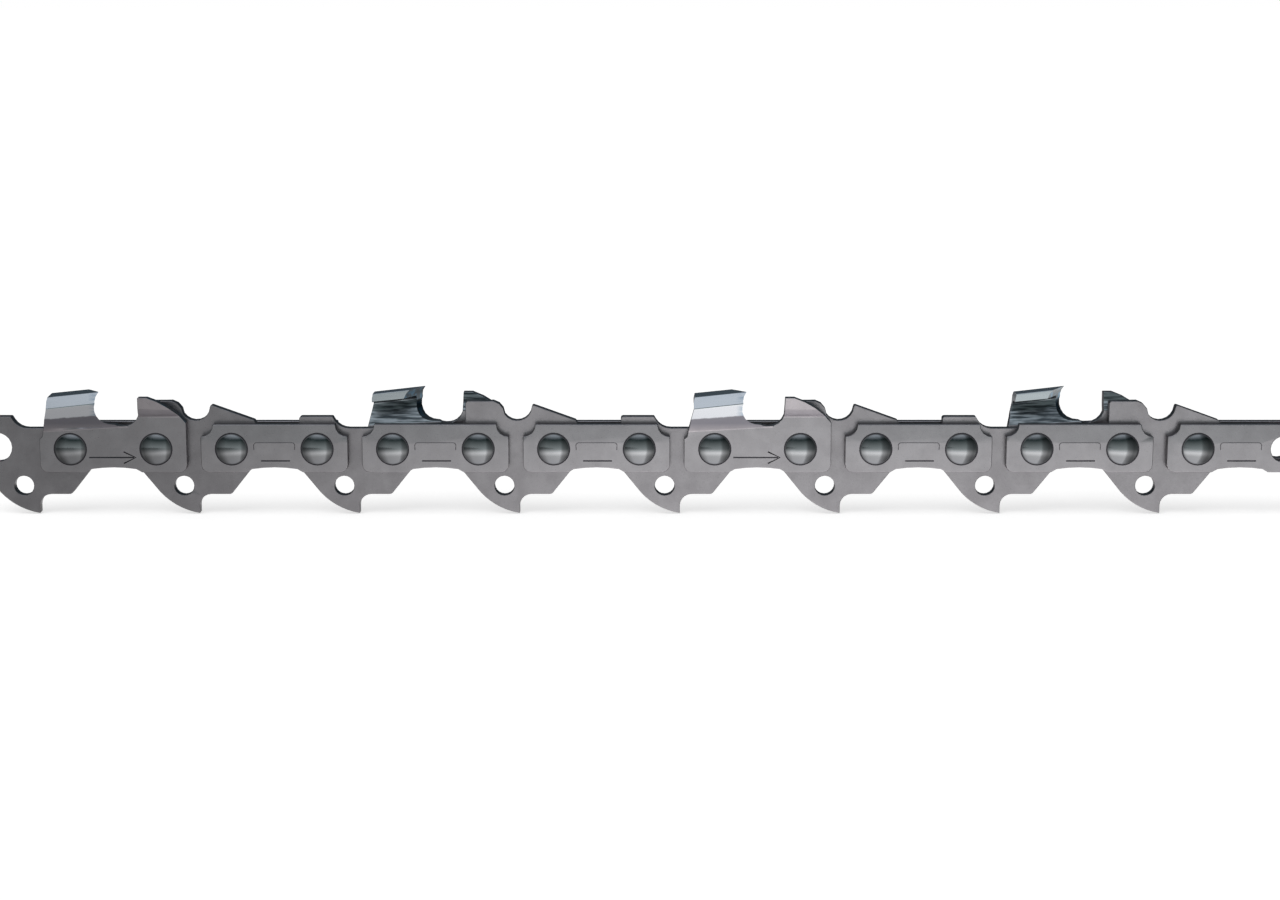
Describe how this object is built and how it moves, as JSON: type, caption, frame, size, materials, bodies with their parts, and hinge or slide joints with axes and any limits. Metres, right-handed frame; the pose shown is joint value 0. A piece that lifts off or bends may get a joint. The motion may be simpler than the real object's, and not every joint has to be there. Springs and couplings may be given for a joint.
{
  "type": "chainsaw chain",
  "caption": "Straight open length of low-profile saw chain: drive links with hooked tangs, tie straps and alternating chrome cutters, joined by live rivets.",
  "frame": {"origin": "under the middle of the straight chain, level with the tips of the drive link tangs", "axes": "+X is the way the chain runs, +Z is the cutting side, -Y is the right-hand side, where the near cutters of the picture are"},
  "size_m": [0.1548, 0.006, 0.0146],
  "materials": {
    "stamped_steel": "tumbled, satin",
    "blued_steel": "tumbled, satin",
    "rivet_steel": "spun and polished head",
    "hard_chrome": "hard chrome plate"
  },
  "bodies": {
    "drive_1": {"drive_link_1": "stamped_steel"},
    "side_1": {"right_cutter_1": "hard_chrome", "tie_strap_1_left": "blued_steel", "rivet_01": "rivet_steel", "rivet_02": "rivet_steel"},
    "drive_2": {"bumper_link_2": "stamped_steel"},
    "side_2": {"tie_strap_2_right": "blued_steel", "tie_strap_2_left": "blued_steel", "rivet_03": "rivet_steel", "rivet_04": "rivet_steel"},
    "drive_3": {"drive_link_3": "stamped_steel"},
    "side_3": {"tie_strap_3_right": "blued_steel", "left_cutter_3": "hard_chrome", "rivet_05": "rivet_steel", "rivet_06": "rivet_steel"},
    "drive_4": {"bumper_link_4": "stamped_steel"},
    "side_4": {"tie_strap_4_right": "blued_steel", "tie_strap_4_left": "blued_steel", "rivet_07": "rivet_steel", "rivet_08": "rivet_steel"},
    "drive_5": {"drive_link_5": "stamped_steel"},
    "side_5": {"right_cutter_5": "hard_chrome", "tie_strap_5_left": "blued_steel", "rivet_09": "rivet_steel", "rivet_10": "rivet_steel"},
    "drive_6": {"bumper_link_6": "stamped_steel"},
    "side_6": {"tie_strap_6_right": "blued_steel", "tie_strap_6_left": "blued_steel", "rivet_11": "rivet_steel", "rivet_12": "rivet_steel"},
    "drive_7": {"drive_link_7": "stamped_steel"},
    "side_7": {"tie_strap_7_right": "blued_steel", "left_cutter_7": "hard_chrome", "rivet_13": "rivet_steel", "rivet_14": "rivet_steel"},
    "drive_8": {"bumper_link_8": "stamped_steel"},
    "side_8": {"tie_strap_8_right": "blued_steel", "tie_strap_8_left": "blued_steel", "rivet_15": "rivet_steel"}
  },
  "joints": [
    {"name": "pivot_09", "type": "hinge", "parent": "drive_5", "child": "side_5", "pos_m": [0.00803, 0, 0.00779], "axis": [0, 1, 0], "range_deg": [-20, 30]},
    {"name": "pivot_10", "type": "hinge", "parent": "side_5", "child": "drive_6", "pos_m": [0.01794, 0, 0.00779], "axis": [0, 1, 0], "range_deg": [-20, 30]},
    {"name": "pivot_11", "type": "hinge", "parent": "drive_6", "child": "side_6", "pos_m": [0.02667, 0, 0.00779], "axis": [0, 1, 0], "range_deg": [-20, 30]},
    {"name": "pivot_12", "type": "hinge", "parent": "side_6", "child": "drive_7", "pos_m": [0.03658, 0, 0.00779], "axis": [0, 1, 0], "range_deg": [-20, 30]},
    {"name": "pivot_13", "type": "hinge", "parent": "drive_7", "child": "side_7", "pos_m": [0.04531, 0, 0.00779], "axis": [0, 1, 0], "range_deg": [-20, 30]},
    {"name": "pivot_14", "type": "hinge", "parent": "side_7", "child": "drive_8", "pos_m": [0.05522, 0, 0.00779], "axis": [0, 1, 0], "range_deg": [-20, 30]},
    {"name": "pivot_15", "type": "hinge", "parent": "drive_8", "child": "side_8", "pos_m": [0.06395, 0, 0.00779], "axis": [0, 1, 0], "range_deg": [-20, 30]},
    {"name": "pivot_08", "type": "hinge", "parent": "drive_5", "child": "side_4", "pos_m": [-0.0007, 0, 0.00779], "axis": [0, 1, 0], "range_deg": [-30, 20]},
    {"name": "pivot_07", "type": "hinge", "parent": "side_4", "child": "drive_4", "pos_m": [-0.01061, 0, 0.00779], "axis": [0, 1, 0], "range_deg": [-30, 20]},
    {"name": "pivot_06", "type": "hinge", "parent": "drive_4", "child": "side_3", "pos_m": [-0.01934, 0, 0.00779], "axis": [0, 1, 0], "range_deg": [-30, 20]},
    {"name": "pivot_05", "type": "hinge", "parent": "side_3", "child": "drive_3", "pos_m": [-0.02925, 0, 0.00779], "axis": [0, 1, 0], "range_deg": [-30, 20]},
    {"name": "pivot_04", "type": "hinge", "parent": "drive_3", "child": "side_2", "pos_m": [-0.03798, 0, 0.00779], "axis": [0, 1, 0], "range_deg": [-30, 20]},
    {"name": "pivot_03", "type": "hinge", "parent": "side_2", "child": "drive_2", "pos_m": [-0.04789, 0, 0.00779], "axis": [0, 1, 0], "range_deg": [-30, 20]},
    {"name": "pivot_02", "type": "hinge", "parent": "drive_2", "child": "side_1", "pos_m": [-0.05662, 0, 0.00779], "axis": [0, 1, 0], "range_deg": [-30, 20]},
    {"name": "pivot_01", "type": "hinge", "parent": "side_1", "child": "drive_1", "pos_m": [-0.06653, 0, 0.00779], "axis": [0, 1, 0], "range_deg": [-30, 20]}
  ]
}
